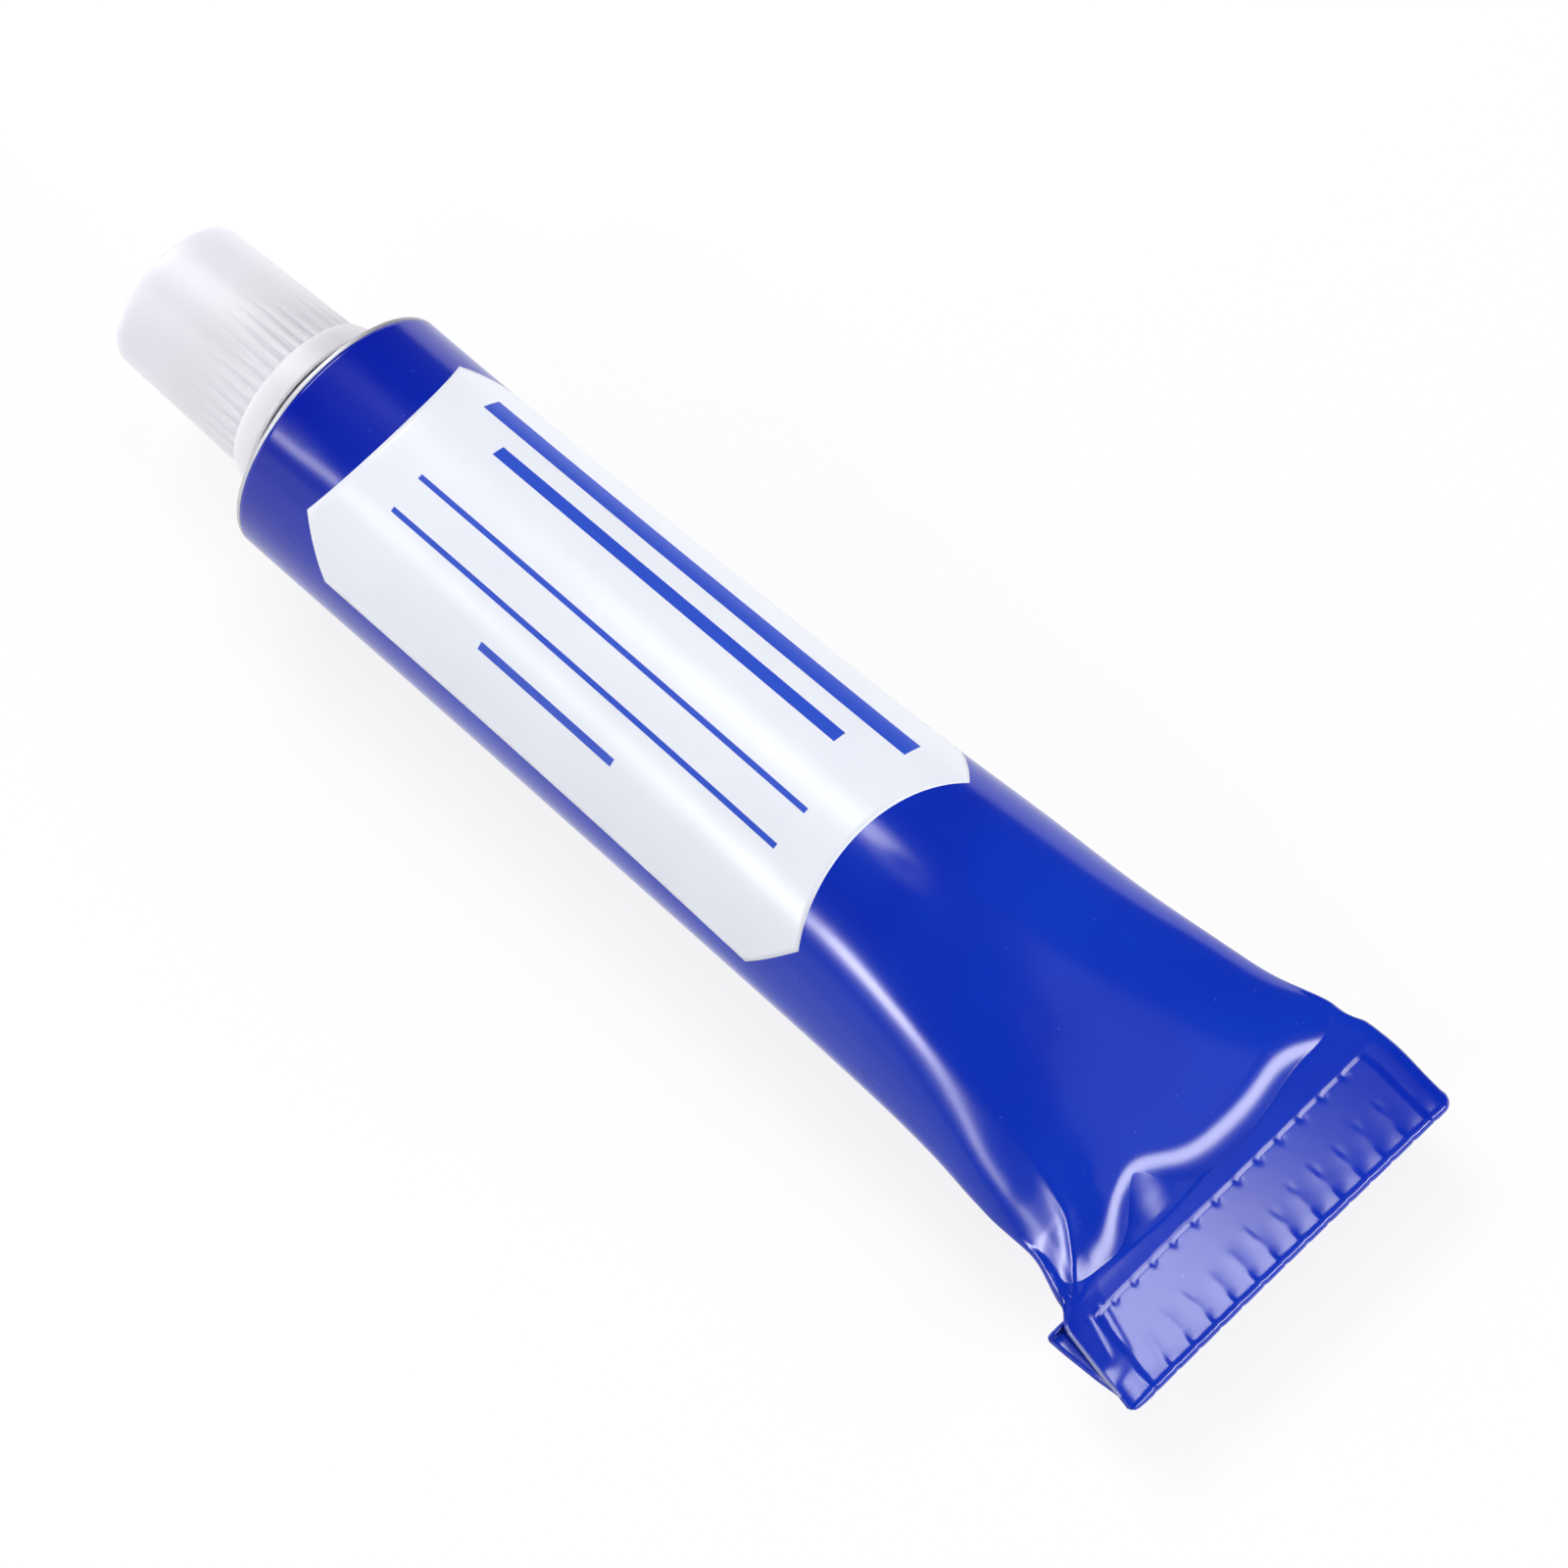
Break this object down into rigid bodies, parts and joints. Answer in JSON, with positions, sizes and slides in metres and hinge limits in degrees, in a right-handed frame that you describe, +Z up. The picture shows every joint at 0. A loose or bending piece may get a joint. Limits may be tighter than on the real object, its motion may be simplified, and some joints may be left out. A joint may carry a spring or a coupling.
{
  "type": "glue tube",
  "caption": "Collapsible blue enamelled aluminium glue tube with a folded and crimped tail, a bare white label panel, a threaded neck and a fluted white screw cap with a piercing point.",
  "frame": {"origin": "on the table, under the middle of the tube's length and width", "axes": "+X along the tube towards its folded tail, with the cap at -X; +Y across the tube; +Z up, through the label"},
  "size_m": [0.117, 0.0346, 0.022],
  "materials": {
    "blue_enamel": "gloss",
    "bare_aluminium": "satin",
    "sealing_latex": "matte",
    "white_print": "gloss",
    "rubber_cement": "gloss",
    "foam_liner": "matte",
    "white_polythene": "satin"
  },
  "bodies": {
    "tube": {"tube_sleeve": "blue_enamel", "tube_head": "bare_aluminium", "nozzle_membrane": "bare_aluminium", "tail_fold": "blue_enamel", "tail_sealant": "sealing_latex", "label_panel": "white_print", "glue_fill": "rubber_cement"},
    "liner": {"cap_liner": "foam_liner"},
    "cap": {"screw_cap": "white_polythene"}
  },
  "joints": [
    {"name": "cap_lift", "type": "slide", "parent": "tube", "child": "liner", "axis": [-1, 0, 0], "range_m": [0, 0.009]},
    {"name": "cap_turn", "type": "hinge", "parent": "liner", "child": "cap", "pos_m": [-0.0505, 0, 0.011], "axis": [-1, 0, 0], "range_deg": [0, 1625]}
  ],
  "couplings": [
    {"joint": "cap_turn", "follows": "cap_lift", "rad_per_m": 3141.6}
  ]
}
